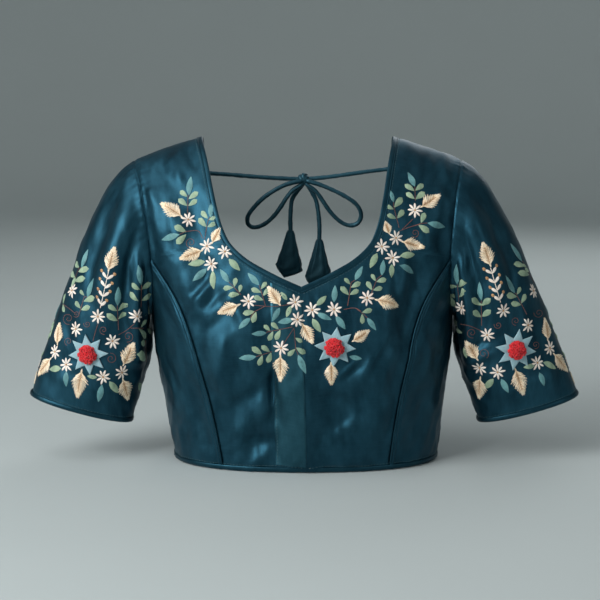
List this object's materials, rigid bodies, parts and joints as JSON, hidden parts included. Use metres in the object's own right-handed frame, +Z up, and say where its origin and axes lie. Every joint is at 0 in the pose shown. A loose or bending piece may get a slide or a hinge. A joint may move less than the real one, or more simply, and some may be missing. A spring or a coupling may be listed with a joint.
{
  "type": "silk blouse",
  "caption": "Short silk sari blouse with a V neck, princess seams, elbow sleeves, embroidery, felt stars and a tied back cord with tassels.",
  "frame": {"origin": "centre of the bounding box, at the surface that the hem stands on", "axes": "+X towards the wearer's left sleeve, -Y out of the front, +Z up"},
  "size_m": [0.6224, 0.2309, 0.3624],
  "materials": {
    "silk": "dark teal satin-faced silk",
    "felt": "pale blue-grey felt",
    "wool": "red wool yarn"
  },
  "bodies": {
    "root": {"front_left": "silk", "front_right": "silk", "side_front_left": "silk", "side_front_right": "silk", "back": "silk", "sleeve_left": "silk", "sleeve_right": "silk", "hook_placket": "silk", "neck_binding_left": "silk", "neck_binding_right": "silk", "back_neck_binding": "silk", "hem_binding": "silk", "cuff_binding_left": "silk", "cuff_binding_right": "silk", "princess_piping_left": "silk", "princess_piping_right": "silk", "tie_left": "silk", "tie_right": "silk", "bow_knot": "silk", "bow_loop_left": "silk", "bow_loop_right": "silk", "tie_tail_left": "silk", "tie_tail_right": "silk", "tassel_left": "silk", "tassel_right": "silk", "star_front": "felt", "star_sleeve_left": "felt", "star_sleeve_right": "felt", "pompom_front": "wool", "pompom_sleeve_left": "wool", "pompom_sleeve_right": "wool"}
  },
  "joints": []
}
